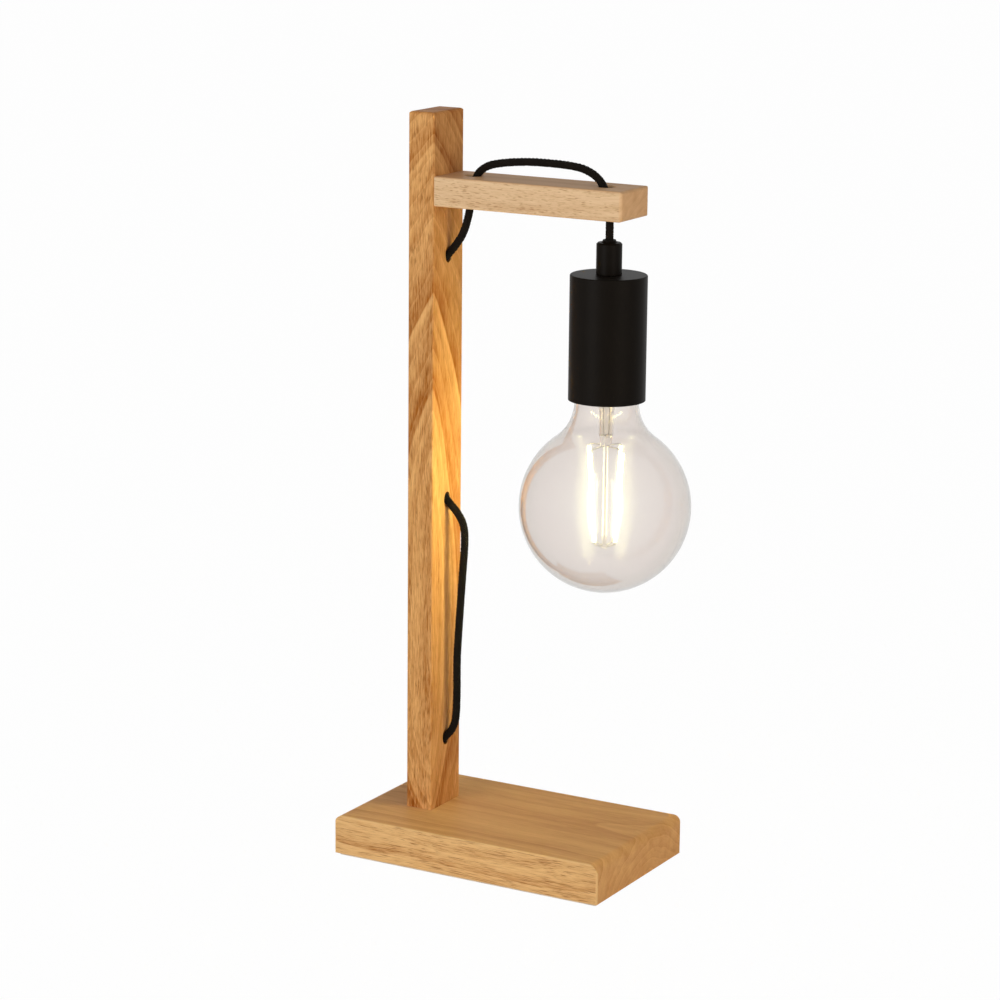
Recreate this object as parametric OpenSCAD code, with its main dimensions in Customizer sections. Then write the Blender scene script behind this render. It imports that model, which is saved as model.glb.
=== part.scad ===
// Bare bulb table lamp: a plank base, a post and a butt-jointed arm in pale
// wood, a braided flex laced through both, and a black cup lampholder with a
// large clear globe bulb. Millimetres, +Z up. The origin is the centre of the
// footprint, on the surface that the lamp stands on. The arm points along +X.

/* [Base] */
// Length of the base board, along the arm
base_l = 170; // [150:1:200]
// Width of the base board
base_w = 102; // [90:1:130]
// Thickness of the base board
base_t = 23; // [21:0.5:30]
// Round-over of the board's two short top edges
base_end_round = 5.5; // [3:0.5:7]
// Eased long top edges and upright corners of the board
base_round = 1.2; // [0.8:0.2:3]
// Thickness of the felt under the board
felt_t = 1; // [0.5:0.5:2]
// Felt's edge to the board's edge
felt_inset = 2; // [1:0.5:4]

/* [Post and arm] */
// Broad side of the post and the arm
stock_w = 32; // [30:0.5:40]
// Narrow side of the post and the arm
stock_t = 16.5; // [15:0.5:22]
// Height of the post above the base board
post_l = 400; // [380:5:460]
// Post centre to the centre of the base board
post_offset = 50; // [40:1:55]
// Length of the arm
arm_l = 116; // [110:1:130]
// Post top to the arm's top face
arm_drop = 35; // [25:1:60]
// Eased long edges of the post and the arm
stock_round = 1; // [0.5:0.25:1.5]
// Rounded top edges of the post and end edges of the arm
end_round = 2; // [1:0.25:3]

/* [Holes for the flex] */
// Bore up the middle of the post
core_d = 8; // [7:0.5:9]
// Slanted holes in the post's front face
lace_d = 6.5; // [5.5:0.25:7]
// Height of the lowest slanted hole above the base board
lace_z = 40; // [40:1:42]
// The arm's underside to the highest slanted hole
lace_below_arm = 28.5; // [28:0.5:30]
// Upright holes in the arm
arm_hole_d = 9.5; // [9:0.25:10]
// Arm hole next to the post, from the post's face
near_hole_x = 15.75; // [15.5:0.25:16]
// Arm hole that the lampholder hangs from, from the arm's end
far_hole_end = 17.25; // [17:0.25:17.5]

/* [Flex] */
// Outside diameter of the braided flex
flex_d = 4.7; // [4.4:0.1:4.8]
// Diameter of one insulated core
core_wire_d = 1.8; // [1.4:0.1:1.9]
// The arm's end to the line that the lampholder hangs on
hang_end = 15.25; // [15:0.25:15.5]
// Free flex between the arm and the cord grip
drop_l = 12; // [8:1:20]

/* [Lampholder] */
// Outside diameter of the cup
cup_d = 42.4; // [41:0.2:48]
// Length of the cup
cup_l = 69; // [67:1:75]
// Sheet thickness of the cup
cup_wall = 1.2; // [0.8:0.1:1.5]
// Diameter of the cord grip
grip_d = 14.1; // [13:0.1:16]
// Length of the cord grip above the cup
grip_l = 17.5; // [14:0.5:22]
// Diameter of the threaded tube under the grip
tail_d = 9.9; // [9.7:0.1:10]
// Outside diameter of the insulating skirt
skirt_d = 33; // [32.5:0.5:36]
// Crest to root of the lamp thread
thread_depth = 0.95; // [0.85:0.05:1.05]
// Mean diameter of the thread on the bulb's cap
thread_d = 25.2; // [25:0.1:25.4]
// Radial clearance between the bulb's thread and the lampholder's
thread_gap = 0.28; // [0.25:0.01:0.35]
// Sheet thickness of both threaded shells
shell_wall = 0.35; // [0.25:0.05:0.4]

/* [Bulb] */
// Diameter of the globe
globe_d = 95; // [90:1:100]
// Diameter of the globe's neck
neck_d = 35.4; // [33:0.2:36]
// Radius between the neck and the globe
neck_fillet = 25; // [20:1:28]
// Straight length of the neck
neck_l = 0.6; // [0.4:0.2:4]
// Thickness of the glass
glass_wall = 0.9; // [0.6:0.1:1.2]
// Number of glowing strips
filament_n = 4; // [3:1:6]
// Length of a glowing strip
filament_l = 50; // [44:1:52]
// Diameter of a glowing strip
filament_d = 1.8; // [1.2:0.1:2.2]

/* [Hidden] */
$fn = 64;

wood = "burlywood";
end_wood = "tan";
black_metal = "dimgray";
black_textile = "darkslategray";
phenolic = "saddlebrown";
brass = "gold";
nickel = "silver";
clear = "lightcyan";

slip = 0.1; // clearance between pieces that fit together
pilot_slip = 0.05; // clearance between a fastener and its hole
reach = 1; // how far a cut runs past the face that it opens

// The wooden stand
board_top = felt_t + base_t;
post_x = -post_offset;
post_face = post_x + stock_t / 2;
post_top = board_top + post_l;
arm_top = post_top - arm_drop;
arm_under = arm_top - stock_t;
arm_end = post_face + arm_l;
near_x = post_face + near_hole_x;
far_x = arm_end - far_hole_end;
hang = arm_end - hang_end;
lace_low = board_top + lace_z;
lace_high = arm_under - lace_below_arm;
lace_step = (lace_high - lace_low) / 2;
lace_mid = lace_low + lace_step;
lace_angle = 45; // slant of the laced holes from the post's axis
lace_rise = stock_t / 2 / tan(lace_angle); // climb of a slanted hole between the bore and the face
core_top = lace_high + core_d / 4;
hole_ease = 0.6; // eased mouth of a hole in the arm
base_foot_round = 1; // eased lower edges of the board

// Dowels and screws of the stand
dowel_d = 6;
dowel_y = 9.6; // dowels each side of the arm's centre
dowel_in_post = 10;
dowel_in_arm = 18;
post_screw_d = 4;
post_screw_l = 32;
post_screw_y = 11; // post screws each side of the bore
cover_screw_d = 3;
cover_screw_l = 10;
fixing_screw_d = 2.6;
head_ratio = 2; // diameter of a countersunk head to its screw's
slot_w = 0.7; // width of a screw's driving slot
slot_depth = 0.9;

// The wiring pocket under the board
cover_t = 2;
cover_rim = 7; // the cover laps this far past the pocket
pocket_ends = 80; // the board's length beyond the pocket's two ends
pocket_l = base_l - pocket_ends;
pocket_w = base_w / 3;
pocket_round = 5;
pocket_behind = 16; // the pocket reaches this far behind the post's middle
pocket_ceiling = board_top - 8; // height of the pocket's ceiling above the table
pocket_x = post_x - pocket_behind + pocket_l / 2; // middle of the pocket
inlet_z = felt_t + 8.5;
grommet_d = 8;
grommet_flange_d = 11.4;
grommet_flange_t = 1.2;
grommet_l = 9;
lead_d = 5.4; // bore of the grommet, for a round mains lead
clamp_x = post_x + 15;
clamp_l = 8;
clamp_w = 24;
clamp_h = 8;
clamp_screw_y = 8;
run_z = pocket_ceiling - 4; // the flex's height in the pocket
block_from_post = 28;
block_x = post_x + block_from_post; // the terminal block's face that the cores enter
block_l = 17;
block_w = 25;
block_h = 11;
pole_n = 3;
pole_step = 8;
sleeve_d = 3.8;
sleeve_bore = 2.4;
sleeve_z = pocket_ceiling - 5.5;
block_screw_x = 8.5; // row of terminal screws, from the block's face to the next
terminal_screw_d = 2.4;
terminal_screw_l = 3;

// The lampholder, measured down from the cup's top face
cup_z = arm_under - drop_l - grip_l - 1.5;
grip_dome_h = 1.5; // the domed mouth above the grip's body
grip_dome_d = 7.8;
grip_bore = flex_d + 0.8;
grip_ease = 0.8;
tail_l = 11.5;
cup_round = 0.8;
cup_top_t = 1.5;
nut_flats = 14;
nut_t = 2.5;
dome_top = 4.6; // depth of the insulating dome's top
dome_neck_d = 16;
dome_neck_l = 5;
dome_slope_l = 9;
dome_wall = 2;
carrier_top = 30; // depth of the porcelain carrier's top
carrier_t = 6;
skirt_bottom = 62;
skirt_bore = thread_d + thread_depth + 2 * (thread_gap + shell_wall + 0.15);
holder_screw_n = 3;
holder_screw_d = 3;
holder_screw_r = 9.5; // terminal screws from the axis
holder_screw_turn = 30;
rivet_x = -7; // rivet of the centre contact
strip_t = 0.5; // thickness of the brass contact strips
side_leg = 2.3; // the side contact's leg down the threaded shell

// Both threads and the cap, measured up from the bulb's foot contact when it is home
foot_depth = 38.2; // depth of the bulb's foot contact below the cup's top face
thread_pitch = 3.629; // the standard pitch, 7 turns to the inch
thread_sides = 30;
rows_per_turn = 6;
shell_top = 2.1;
shell_thread_top = -0.4;
shell_bottom = -18.8;
cap_thread_top = -4.4;
cap_thread_bottom = -21.2;
cap_rim = -26.1;
cap_rim_r = 13.4;
cap_wall = 0.3;
foot_r = 4.6;
foot_t = 1.1;

// The bulb, measured up from the middle of the globe
globe_r = globe_d / 2;
fillet_up = sqrt(pow(globe_r + neck_fillet, 2) - pow(neck_d / 2 + neck_fillet, 2));
seal_r = 12.4; // radius of the glass where it enters the cap
shoulder_r = neck_d / 2 - seal_r;
neck_up = fillet_up + neck_l; // height where the neck starts to close
glass_top = neck_up + shoulder_r + 4; // height of the glass's rim inside the cap
cap_reach = 22.3; // from the glass's rim up to the foot contact
stem_l = 34.5; // from the glass's rim down to the pinch that carries the wires
foot_up = glass_top + cap_reach;
stem_up = glass_top - stem_l;
stem_d = 8;
pinch_t = 3.6;
pinch_h = 6;
rod_d = 2.2; // the glass rod that hangs from the pinch
filament_up = stem_up - 2.5; // height of the strips' tops
filament_top_r = 12.4; // strips' tops from the axis
filament_foot_r = 8.2; // strips' feet from the axis
filament_turn = 75; // turn of the ring of strips about the axis
filament_foot = filament_up - sqrt(pow(filament_l, 2) - pow(filament_top_r - filament_foot_r, 2));
wire_d = 0.6;
board_size = [14, 1, 15]; // the driver board, upright in the cap
choke_size = [4.5, 2.6, 4];
choke_at = [2, 8]; // x and height of each piece on the board
rectifier_size = [5, 2, 4];
rectifier_at = [-5, 6];
capacitor_d = 6;
capacitor_l = 5;
capacitor_at = [-2.5, 4];

// The flex's route, from the terminal block to the arm's far hole. Each stretch holds a place
// on the stand, as x and height, and the steps from there to its points.
arch_l = hang - near_x;
flex_stretches = [
    [[post_x, board_top], [[20.5, -12], [14, -12], [7, -12], [2.2, -10], [0, -4], [0, 14]]],
    [[post_x, lace_low - lace_rise], [[0.2, -6.75], [1.4, -1.15]]],
    [[post_face, lace_low], [[-4.05, -4.2], [-0.05, 0], [4.35, 5.4], [6.75, 13]]],
    [[post_face, lace_low], [[7.35, lace_step / 5], [7.35, lace_step * 0.343]]],
    [[post_face, lace_low], [[8.75, lace_step * 0.514], [10.55, lace_step * 0.7]]],
    [[post_face, lace_mid], [[11.75, -24], [10.95, -14], [7.15, -7.2], [-0.05, 0]]],
    [[post_x, lace_mid + lace_rise], [[2.8, -2.25], [0.3, 5.75], [0, 21.75]]],
    [[post_x, lace_mid], [[0, lace_step / 2], [0, lace_step * 0.77]]],
    [[post_x, lace_high - lace_rise], [[0.2, -7.75], [1.4, -1.15]]],
    [[post_face, lace_high], [[-4.05, -4.2], [-0.05, 0], [5.35, 6.4], [9.75, 13.4]]],
    [[near_x, arm_under], [[-2.8, -4.9], [-0.8, 6.1]]],
    [[near_x, arm_top], [[2, -0.4], [7, 4.8], [16, 7.8], [arch_l * 0.4, 9.9], [arch_l * 0.635, 10]]],
    [[hang, arm_top], [[-19, 9], [-12, 6.8], [-7, 3.5], [-3.6, -1.1], [-1.8, -6.2], [-0.4, -10.6]]],
    [[hang, arm_under], [[0, flex_d / 2 + 0.35]]]
];
flex_route = [for (s = flex_stretches) for (step = s[1]) [s[0].x + step.x, 0, s[0].y + step.y]];
flex_sides = 10;

// The cores' route, from the flex's end into the terminal block
core_route = [[20.55, 0, -12], [21.6, 0, -12], [24.2, 0, -12.6], [27.2, 0, -13.4], [30.5, 0, -13.5]];
core_spread = [0, 0, 0.45, 1, 1]; // share of the way to its pole that a core has spread

// ---- shared shapes ----

// A rectangle with its middle at the origin and its own radius at top and foot
module rounded_profile(w, h, top_r, foot_r) {
    union() {
        translate([-w / 2, -h / 2 + foot_r]) square([w, h - top_r - foot_r]);
        translate([-w / 2 + top_r, h / 2 - top_r - reach]) square([w - 2 * top_r, top_r + reach]);
        translate([-w / 2 + foot_r, -h / 2]) square([w - 2 * foot_r, foot_r + reach]);
        for (s = [-1, 1]) {
            translate([s * (w / 2 - top_r), h / 2 - top_r]) circle(top_r);
            if (foot_r > 0) translate([s * (w / 2 - foot_r), -h / 2 + foot_r]) circle(foot_r);
        }
    }
}

// A bar that stands on z = 0, with its own radius on its upright edges, on its top edges at
// the ends and along the sides, and at its foot
module eased_bar(x, y, z, upright_r, end_r, side_r, foot_r) {
    intersection() {
        linear_extrude(z) rounded_profile(x, y, upright_r, upright_r);
        rotate([90, 0, 0]) linear_extrude(y + reach, center = true)
            translate([0, z / 2]) rounded_profile(x, z, end_r, foot_r);
        rotate([90, 0, 90]) linear_extrude(x + reach, center = true)
            translate([0, z / 2]) rounded_profile(y, z, side_r, foot_r);
    }
}

// A countersunk screw that points up from z = 0, with a cross slot in its head
module countersunk_screw(d, l) {
    head_d = head_ratio * d;
    difference() {
        rotate_extrude() polygon([
            [0, 0], [head_d / 2, 0], [head_d / 2, 0.3], [d / 2, 0.3 + (head_d - d) / 2],
            [d / 2, l - d], [0, l]
        ]);
        for (a = [0, 90]) rotate([0, 0, a])
            translate([-head_d * 0.3, -slot_w / 2, -reach])
                cube([head_d * 0.6, slot_w, slot_depth + reach]);
    }
}

// The hole that a countersunk screw sits in
module countersunk_hole(d, l) {
    head_d = head_ratio * d + 2 * pilot_slip;
    hole_d = d + 2 * pilot_slip;
    rotate_extrude() polygon([
        [0, -reach], [head_d / 2, -reach], [head_d / 2, 0.3],
        [hole_d / 2, 0.3 + (head_d - hole_d) / 2], [hole_d / 2, l + slip], [0, l + slip]
    ]);
}

// A round rod between two points
module rod(p, q, d) {
    v = q - p;
    translate(p) rotate([0, acos(v.z / norm(v)), atan2(v.y, v.x)]) cylinder(d = d, h = norm(v));
}

function unit(v) = v / norm(v);
function at(route, i) = route[min(max(i, 0), len(route) - 1)];
function heading(route, i) = unit(at(route, i + 1) - at(route, i - 1));

// A smooth curve through every point of a route
function curve_point(a, b, c, d, t) =
    0.5 * (2 * b + (c - a) * t + (2 * a - 5 * b + 4 * c - d) * t * t
        + (3 * b - 3 * c + d - a) * t * t * t);
function smooth_route(route, steps) = concat(
    [for (i = [0:len(route) - 2]) for (j = [0:steps - 1])
        curve_point(at(route, i - 1), at(route, i), at(route, i + 1), at(route, i + 2), j / steps)],
    [route[len(route) - 1]]
);

// A tube along a route, as one closed polyhedron
module swept_tube(route, d, sides) {
    rings = len(route);
    points = [for (i = [0:rings - 1])
        let (t = heading(route, i), a = unit(cross(t, [0, 1, 0])), b = cross(t, a))
        for (j = [0:sides - 1])
            route[i] + d / 2 * (cos(360 * j / sides) * a + sin(360 * j / sides) * b)];
    walls = [for (i = [0:rings - 2]) for (j = [0:sides - 1])
        let (k = (j + 1) % sides, p = i * sides, q = p + sides)
        for (f = [[p + j, q + j, q + k], [p + j, q + k, p + k]]) f];
    ends = [
        [for (j = [0:sides - 1]) j],
        [for (j = [sides - 1:-1:0]) (rings - 1) * sides + j]
    ];
    polyhedron(points, concat(walls, ends));
}

// Height of the thread's wave at a height and an angle, from -1 to 1, for a right-hand thread
function wave(z, a) = cos(360 * z / thread_pitch - a);

// A threaded sheet-metal shell. Each row holds a height, a radius and the depth of the
// thread there. A cap's thread stands out from its root, a socket's stands in from its crown.
module threaded_shell(rows, wall, is_cap) {
    n = thread_sides;
    m = len(rows);
    function face_r(row, a) = is_cap
        ? row[1] + row[2] * (1 + wave(row[0], a)) / 2
        : row[1] - row[2] * (1 - wave(row[0], a)) / 2;
    points = [for (side = [0, 1]) for (row = rows) for (j = [0:n - 1])
        let (a = 360 * j / n, r = face_r(row, a) + (is_cap ? -side : 1 - side) * wall)
        [r * cos(a), r * sin(a), row[0]]];
    walls = [for (i = [0:m - 2]) for (j = [0:n - 1])
        let (k = (j + 1) % n, p = i * n, q = p + n, w = m * n)
        for (f = [
            [p + j, q + j, q + k], [p + j, q + k, p + k],
            [w + p + j, w + q + k, w + q + j], [w + p + j, w + p + k, w + q + k]
        ]) f];
    rims = [for (j = [0:n - 1])
        let (k = (j + 1) % n, p = (m - 1) * n, w = m * n)
        for (f = [[j, k, w + k, w + j], [p + k, p + j, w + p + j, w + p + k]]) f];
    polyhedron(points, concat(walls, rims));
}

// Rows of a thread from one height to another, fading in and out over half a turn
function thread_rows(low, high, r) =
    let (n = ceil((high - low) * rows_per_turn / thread_pitch), fade = thread_pitch / 2)
    [for (i = [0:n]) let (z = low + (high - low) * i / n)
        [z, r, thread_depth * min(1, (z - low) / fade, (high - z) / fade)]];

// ---- the stand ----

module at_cover_corners() {
    for (x = [-1, 1], y = [-1, 1])
        translate([pocket_x + x * (pocket_l + cover_rim) / 2, y * (pocket_w + cover_rim) / 2, felt_t])
            children();
}

module at_post_screws() {
    for (y = [-1, 1]) translate([post_x, y * post_screw_y, pocket_ceiling]) children();
}

module at_clamp_screws() {
    for (y = [-1, 1]) translate([clamp_x, y * clamp_screw_y, pocket_ceiling - clamp_h]) children();
}

module at_block_screws() {
    for (y = [-1, 1])
        translate([block_x + block_l / 2, y * pole_step / 2, pocket_ceiling - block_h]) children();
}

module at_poles() {
    for (i = [0:pole_n - 1])
        translate([block_x, (i - (pole_n - 1) / 2) * pole_step, sleeve_z]) children();
}

module at_dowels() {
    for (y = [-1, 1])
        translate([post_face - dowel_in_post, y * dowel_y, arm_under + stock_t / 2])
            rotate([0, 90, 0]) children();
}

// A slanted hole from the post's bore to its face; up is 1 where the flex leaves upwards
module lace_hole(height, up) {
    translate([post_face, 0, height])
        rotate([0, up > 0 ? lace_angle : 180 - lace_angle, 0])
            translate([0, 0, -stock_t / 2 / sin(lace_angle)])
                cylinder(d = lace_d, h = stock_t / 2 / sin(lace_angle) + lace_d);
}

module base_board() {
    color(wood) difference() {
        translate([0, 0, felt_t])
            eased_bar(base_l, base_w, base_t, base_round, base_end_round, base_round, base_foot_round);
        translate([pocket_x, 0, felt_t - reach]) {
            linear_extrude(pocket_ceiling - felt_t + reach)
                rounded_profile(pocket_l, pocket_w, pocket_round, pocket_round);
            linear_extrude(cover_t + reach) rounded_profile(
                pocket_l + 2 * cover_rim, pocket_w + 2 * cover_rim, pocket_round, pocket_round);
        }
        translate([post_x, 0, pocket_ceiling - reach])
            cylinder(d = core_d, h = board_top - pocket_ceiling + 2 * reach);
        at_post_screws() countersunk_hole(post_screw_d, post_screw_l);
        at_cover_corners() countersunk_hole(cover_screw_d, cover_screw_l);
        at_clamp_screws() cylinder(d = fixing_screw_d + 2 * pilot_slip, h = clamp_h + 5);
        at_block_screws() cylinder(d = fixing_screw_d + 2 * pilot_slip, h = block_h + 4);
        translate([-base_l / 2 - reach, 0, inlet_z]) rotate([0, 90, 0]) {
            cylinder(d = grommet_d + 2 * pilot_slip, h = base_l / 2 + reach + pocket_x);
            cylinder(d = grommet_flange_d + 2 * slip, h = grommet_flange_t + reach);
        }
    }
}

module post() {
    color(wood) difference() {
        translate([post_x, 0, board_top])
            eased_bar(stock_t, stock_w, post_l, stock_round, end_round, end_round, 0);
        translate([post_x, 0, board_top - reach])
            cylinder(d = core_d, h = core_top - board_top + reach);
        lace_hole(lace_low, 1);
        lace_hole(lace_mid, -1);
        lace_hole(lace_high, 1);
        at_post_screws() countersunk_hole(post_screw_d, post_screw_l);
        at_dowels() cylinder(d = dowel_d, h = dowel_in_post + reach);
    }
}

module arm_hole(x) {
    translate([x, 0, arm_under]) {
        translate([0, 0, -reach]) cylinder(d = arm_hole_d, h = stock_t + 2 * reach);
        for (s = [0, 1]) translate([0, 0, s * stock_t]) rotate([s * 180, 0, 0])
            translate([0, 0, -slip]) cylinder(d1 = arm_hole_d + 2 * (hole_ease + slip),
                d2 = arm_hole_d, h = hole_ease + slip);
    }
}

module arm() {
    color(wood) difference() {
        translate([post_face, 0, arm_under + stock_t / 2]) rotate([0, 90, 0])
            eased_bar(stock_t, stock_w, arm_l, stock_round, end_round, end_round, 0);
        arm_hole(near_x);
        arm_hole(far_x);
        at_dowels() cylinder(d = dowel_d, h = dowel_in_post + dowel_in_arm);
    }
}

module arm_dowels() {
    color(end_wood) at_dowels() cylinder(d = dowel_d, h = dowel_in_post + dowel_in_arm);
}

module post_screws() {
    color(nickel) at_post_screws() countersunk_screw(post_screw_d, post_screw_l);
}

module base_felt() {
    color("darkolivegreen") linear_extrude(felt_t) rounded_profile(
        base_l - 2 * felt_inset, base_w - 2 * felt_inset, base_round, base_round);
}

module bottom_cover() {
    color("peru") difference() {
        translate([pocket_x, 0, felt_t]) linear_extrude(cover_t) rounded_profile(
            pocket_l + 2 * (cover_rim - slip), pocket_w + 2 * (cover_rim - slip),
            pocket_round, pocket_round);
        at_cover_corners() countersunk_hole(cover_screw_d, cover_screw_l);
    }
}

module cover_screws() {
    color(nickel) at_cover_corners() countersunk_screw(cover_screw_d, cover_screw_l);
}

module lead_grommet() {
    color("black") translate([-base_l / 2, 0, inlet_z]) rotate([0, 90, 0]) difference() {
        union() {
            cylinder(d = grommet_d, h = grommet_l);
            cylinder(d = grommet_flange_d, h = grommet_flange_t);
        }
        translate([0, 0, -reach]) cylinder(d = lead_d, h = grommet_l + 2 * reach);
    }
}

module cord_clamp() {
    color("whitesmoke") difference() {
        translate([clamp_x, 0, pocket_ceiling - clamp_h]) linear_extrude(clamp_h)
            rounded_profile(clamp_l, clamp_w, 1, 1);
        translate([clamp_x - clamp_l, 0, run_z]) rotate([0, 90, 0])
            cylinder(d = flex_d + slip, h = 2 * clamp_l);
        at_clamp_screws() countersunk_hole(fixing_screw_d, clamp_h);
    }
}

module terminal_block() {
    color("ivory") difference() {
        translate([block_x, -block_w / 2, pocket_ceiling - block_h]) cube([block_l, block_w, block_h]);
        for (y = [-1, 1])
            translate([block_x - reach, y * pole_step / 2 - 0.8, pocket_ceiling - block_h - reach])
                cube([(block_l - 2 * fixing_screw_d) / 2 - 1, 1.6, 3 + reach]);
        at_poles() {
            translate([-reach, 0, 0]) rotate([0, 90, 0])
                cylinder(d = sleeve_d + slip, h = block_l + 2 * reach);
            for (x = [-1, 1]) translate([block_l / 2 + x * block_screw_x / 2, 0, -block_h])
                cylinder(d = terminal_screw_d + 2 * slip, h = block_h);
        }
        at_block_screws() countersunk_hole(fixing_screw_d, block_h);
    }
}

module terminal_sleeves() {
    color(brass) at_poles() difference() {
        translate([0.5, 0, 0]) rotate([0, 90, 0]) cylinder(d = sleeve_d, h = block_l - 1);
        translate([-reach, 0, 0]) rotate([0, 90, 0]) cylinder(d = sleeve_bore, h = block_l + 2 * reach);
        for (x = [-1, 1]) translate([block_l / 2 + x * block_screw_x / 2, 0, -sleeve_d])
            cylinder(d = terminal_screw_d + pilot_slip, h = sleeve_d);
    }
}

module terminal_screws() {
    color(nickel) at_poles() for (x = [-1, 1])
        translate([block_l / 2 + x * block_screw_x / 2, 0, -terminal_screw_l - 1]) difference() {
            cylinder(d = terminal_screw_d, h = terminal_screw_l);
            translate([-terminal_screw_d, -slot_w / 2, -reach])
                cube([2 * terminal_screw_d, slot_w, slot_depth + reach]);
        }
}

module fixing_screws() {
    color(nickel) {
        at_clamp_screws() countersunk_screw(fixing_screw_d, clamp_h + 4.5);
        at_block_screws() countersunk_screw(fixing_screw_d, block_h + 3.5);
    }
}

// ---- the flex ----

module flex() {
    color(black_textile) swept_tube(smooth_route(flex_route, 2), flex_d, flex_sides);
}

module flex_cores() {
    color(brass) for (i = [0:pole_n - 1]) {
        pole = [0, (i - (pole_n - 1) / 2) * pole_step, 0];
        a = 360 * i / pole_n - 30;
        twist = (core_wire_d + slip) / sqrt(3) * [0, -cos(a), sin(a)];
        points = [for (k = [0:len(core_route) - 1]) core_route[k]
            + [post_x, 0, board_top] + twist + (pole - twist) * core_spread[k]];
        swept_tube(points, core_wire_d, 8);
    }
}

// The stretch that the lampholder swings on, round-ended where it bends
module flex_drop() {
    color(black_textile) translate([hang, 0, arm_under - drop_l]) {
        cylinder(d = flex_d, h = drop_l);
        for (z = [0, drop_l]) translate([0, 0, z]) sphere(d = flex_d);
    }
}

// ---- the lampholder ----

module at_holder() {
    translate([hang, 0, cup_z]) children();
}

module at_foot() {
    translate([hang, 0, cup_z - foot_depth]) children();
}

module at_globe() {
    translate([hang, 0, cup_z - foot_depth - foot_up]) children();
}

module at_holder_screws() {
    for (i = [0:holder_screw_n - 1]) rotate([0, 0, 360 * i / holder_screw_n + holder_screw_turn])
        translate([holder_screw_r, 0, -carrier_top]) children();
}

module cord_grip() {
    color(black_metal) at_holder() difference() {
        rotate_extrude() polygon([
            [0, -tail_l], [tail_d / 2 - 0.5, -tail_l], [tail_d / 2, 0.5 - tail_l], [tail_d / 2, 0],
            [grip_d / 2 - 0.3, 0], [grip_d / 2, 0.3], [grip_d / 2, grip_l - grip_ease],
            [grip_d / 2 - grip_ease, grip_l], [grip_dome_d / 2 + 0.6, grip_l],
            [grip_dome_d / 2, grip_l + 0.5], [grip_dome_d / 2 - 0.4, grip_l + grip_dome_h],
            [0, grip_l + grip_dome_h]
        ]);
        translate([0, 0, -tail_l - reach])
            cylinder(d = grip_bore, h = tail_l + grip_l + grip_dome_h + 2 * reach);
        translate([0, 0, grip_l / 2]) rotate([-90, 0, 0])
            cylinder(d = holder_screw_d + 2 * pilot_slip, h = grip_d);
    }
}

module grip_screw() {
    color(nickel) at_holder() translate([0, flex_d / 2 + pilot_slip, grip_l / 2]) rotate([-90, 0, 0])
        difference() {
            cylinder(d = holder_screw_d, h = (grip_d - flex_d) / 2 - 0.4);
            translate([0, 0, (grip_d - flex_d) / 2 - 1.9])
                cylinder(d = holder_screw_d * 0.55, h = 2, $fn = 6);
        }
}

// The flex inside the grip and the tail, below the point that the lampholder swings on
module flex_tail() {
    color(black_textile) at_holder() translate([0, 0, -tail_l - 1])
        cylinder(d = flex_d, h = tail_l + 1 + grip_l + grip_dome_h - flex_d / 2 - 0.3);
}

module holder_cores() {
    color(brass) at_holder() for (i = [0:holder_screw_n - 1]) {
        a = 360 * i / holder_screw_n + holder_screw_turn;
        r = [1.15, 1.2, 2.4, 6.2, holder_screw_r - 0.4, holder_screw_r];
        z = [1.06, 3, 6, 9.6, 12.8, carrier_top - tail_l - 1.6];
        points = [for (k = [0:len(r) - 1]) [r[k] * cos(a), r[k] * sin(a), -tail_l - z[k]]];
        swept_tube(smooth_route(points, 2), core_wire_d, 8);
    }
}

module lock_nut() {
    color(nickel) at_holder() translate([0, 0, -cup_top_t - nut_t - slip]) difference() {
        cylinder(d = nut_flats / cos(30), h = nut_t, $fn = 6);
        translate([0, 0, -reach]) cylinder(d = tail_d + slip, h = nut_t + 2 * reach);
    }
}

module holder_cup() {
    r = cup_d / 2;
    color(black_metal) at_holder() rotate_extrude() difference() {
        union() {
            translate([0, -cup_l]) square([r, cup_l - cup_round]);
            translate([0, -cup_round - reach]) square([r - cup_round, cup_round + reach]);
            translate([r - cup_round, -cup_round]) circle(cup_round);
        }
        translate([-reach, -cup_l - reach]) square([r - cup_wall + reach, cup_l - cup_top_t + reach]);
        translate([-reach, -2 * cup_top_t]) square([tail_d / 2 + slip + reach, 3 * cup_top_t]);
    }
}

module holder_dome() {
    neck = dome_neck_d / 2;
    out = skirt_d / 2;
    color(phenolic) at_holder() rotate_extrude() polygon([
        [tail_d / 2 + slip, -dome_top], [neck - 0.5, -dome_top], [neck, -dome_top - 0.5],
        [neck, -dome_top - dome_neck_l], [out, -dome_top - dome_neck_l - dome_slope_l],
        [out, slip - carrier_top - 2], [out - dome_wall, slip - carrier_top - 2],
        [out - dome_wall, -dome_top - dome_neck_l - dome_slope_l - 0.8],
        [neck - dome_wall, -dome_top - dome_neck_l - 0.8],
        [tail_d / 2 + slip, -dome_top - dome_neck_l - 0.8]
    ]);
}

module contact_carrier() {
    color("whitesmoke") at_holder() difference() {
        translate([0, 0, -carrier_top - carrier_t]) cylinder(d = skirt_bore - 2 * slip, h = carrier_t);
        at_holder_screws() translate([0, 0, -carrier_t + 1])
            cylinder(d = holder_screw_d + 2 * pilot_slip, h = carrier_t);
        translate([rivet_x, 0, -carrier_top - carrier_t - reach])
            cylinder(d = 2.5, h = carrier_t + 2 * reach);
    }
}

module holder_skirt() {
    bore = skirt_bore / 2;
    out = skirt_d / 2;
    color(phenolic) at_holder() rotate_extrude() polygon([
        [bore, -carrier_top - 2], [out, -carrier_top - 2], [out, 0.6 - skirt_bottom],
        [out - 0.6, -skirt_bottom], [bore + 0.4, -skirt_bottom], [bore, 0.4 - skirt_bottom]
    ]);
}

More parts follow.
